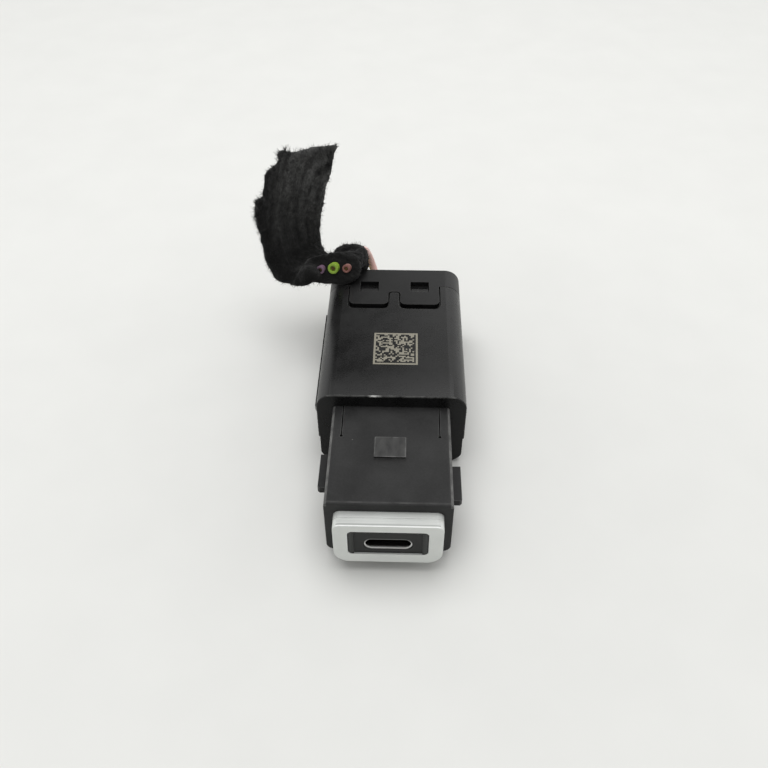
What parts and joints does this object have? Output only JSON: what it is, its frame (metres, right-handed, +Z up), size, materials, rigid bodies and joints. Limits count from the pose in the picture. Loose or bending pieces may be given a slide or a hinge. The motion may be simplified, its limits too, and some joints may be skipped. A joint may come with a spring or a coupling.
{
  "type": "usb charging socket module",
  "caption": "Vehicle charging socket module: USB-C port in a silver frame, slim snap-in nose, boxy housing with a clipped rear cover, and the cut stub of its fleece-wrapped harness.",
  "frame": {"origin": "on the table under the module: middle of its width without the key rib, half way between the silver frame's face and the cover's rear face", "axes": "+X to the right as seen from the port, +Y from the port to the harness, +Z up from the table"},
  "size_m": [0.0462, 0.08, 0.0476],
  "materials": {
    "housing": "fine spark-eroded grain, dark grey",
    "silver_trim": "satin silver lacquer",
    "insert": "matt",
    "steel": "stamped, bright nickel",
    "black_moulding": "moulded",
    "contact_metal": "plated",
    "board": "solder mask",
    "ferrite": "matt",
    "capacitor_can": "drawn can",
    "ceramic_chip": "sintered",
    "plug_lock": "moulded",
    "wire_red": "extruded insulation",
    "wire_green": "extruded insulation",
    "wire_violet": "extruded insulation",
    "fleece": "needled fleece, fuzzy"
  },
  "bodies": {
    "root": {"rear_housing": "housing", "rear_cover": "housing", "front_housing": "housing", "bezel_frame": "silver_trim", "port_insert": "insert", "usb_shell": "steel", "usb_tongue": "black_moulding", "tongue_plate": "steel", "usb_contacts": "contact_metal", "circuit_board": "board", "power_inductor": "ferrite", "bulk_capacitors": "capacitor_can", "charge_controller": "black_moulding", "buck_converter": "black_moulding", "power_transistors": "black_moulding", "input_choke": "ferrite", "clamp_diode": "black_moulding", "ceramic_capacitors": "ceramic_chip", "chip_resistors": "black_moulding", "header_pins": "contact_metal", "plug_housing": "black_moulding", "plug_lock": "plug_lock", "plug_terminals": "contact_metal", "wire_red": "wire_red", "wire_green": "wire_green", "wire_violet": "wire_violet", "fleece_tape": "fleece"}
  },
  "joints": []
}
